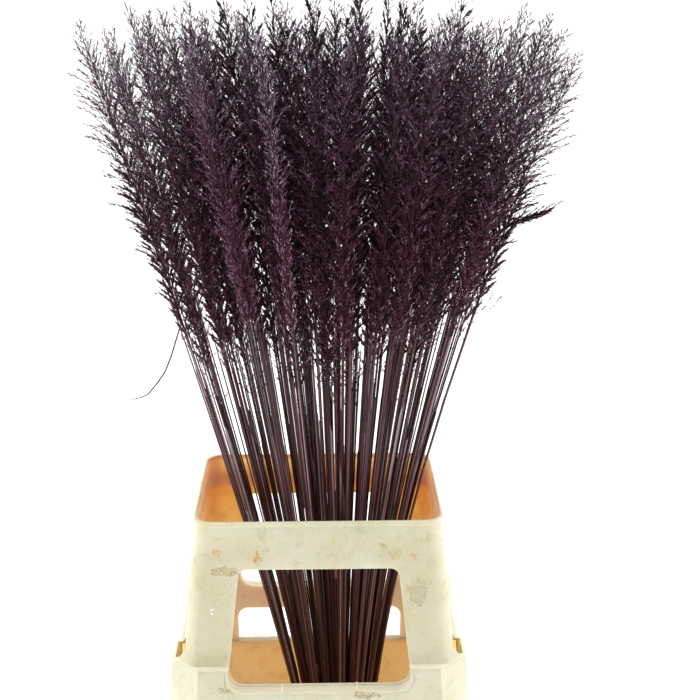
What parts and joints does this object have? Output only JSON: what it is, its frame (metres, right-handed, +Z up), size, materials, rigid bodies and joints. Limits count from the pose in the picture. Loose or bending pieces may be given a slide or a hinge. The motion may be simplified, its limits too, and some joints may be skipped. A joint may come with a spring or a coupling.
{
  "type": "potted feather reed grass",
  "caption": "Bunch of dried, dark-dyed feather reed grass plumes standing in a windowed two-piece cut-flower bin and collar.",
  "frame": {"origin": "centre of the bin's flat underside", "axes": "+Z up along the stems, -Y towards the front window, +X to the viewer's right"},
  "size_m": [0.4827, 0.291, 0.877],
  "materials": {
    "cream_plastic": "moulded polypropylene, aged cream, scuffed",
    "dyed_grass": "dried grass dyed dark aubergine, satin stems and matt plumes"
  },
  "bodies": {
    "root": {"bin": "cream_plastic", "collar": "cream_plastic", "reed_grass_01": "dyed_grass", "reed_grass_02": "dyed_grass", "reed_grass_03": "dyed_grass", "reed_grass_04": "dyed_grass", "reed_grass_05": "dyed_grass", "reed_grass_06": "dyed_grass", "reed_grass_07": "dyed_grass", "reed_grass_08": "dyed_grass", "reed_grass_09": "dyed_grass", "reed_grass_10": "dyed_grass", "reed_grass_11": "dyed_grass", "reed_grass_12": "dyed_grass", "reed_grass_13": "dyed_grass", "reed_grass_14": "dyed_grass", "reed_grass_15": "dyed_grass", "reed_grass_16": "dyed_grass", "reed_grass_17": "dyed_grass", "reed_grass_18": "dyed_grass", "reed_grass_19": "dyed_grass", "reed_grass_20": "dyed_grass", "reed_grass_21": "dyed_grass", "reed_grass_22": "dyed_grass", "reed_grass_23": "dyed_grass", "reed_grass_24": "dyed_grass", "reed_grass_25": "dyed_grass", "reed_grass_26": "dyed_grass", "reed_grass_27": "dyed_grass", "reed_grass_28": "dyed_grass", "reed_grass_29": "dyed_grass", "reed_grass_30": "dyed_grass", "reed_grass_31": "dyed_grass", "reed_grass_32": "dyed_grass", "reed_grass_33": "dyed_grass", "reed_grass_34": "dyed_grass", "reed_grass_35": "dyed_grass", "reed_grass_36": "dyed_grass", "reed_grass_37": "dyed_grass", "reed_grass_38": "dyed_grass", "reed_grass_39": "dyed_grass", "reed_grass_40": "dyed_grass", "reed_grass_41": "dyed_grass", "reed_grass_42": "dyed_grass", "reed_grass_43": "dyed_grass", "reed_grass_44": "dyed_grass", "reed_grass_45": "dyed_grass", "reed_grass_46": "dyed_grass", "reed_grass_47": "dyed_grass", "reed_grass_48": "dyed_grass", "reed_grass_49": "dyed_grass", "reed_grass_50": "dyed_grass", "reed_grass_51": "dyed_grass", "reed_grass_52": "dyed_grass"}
  },
  "joints": []
}
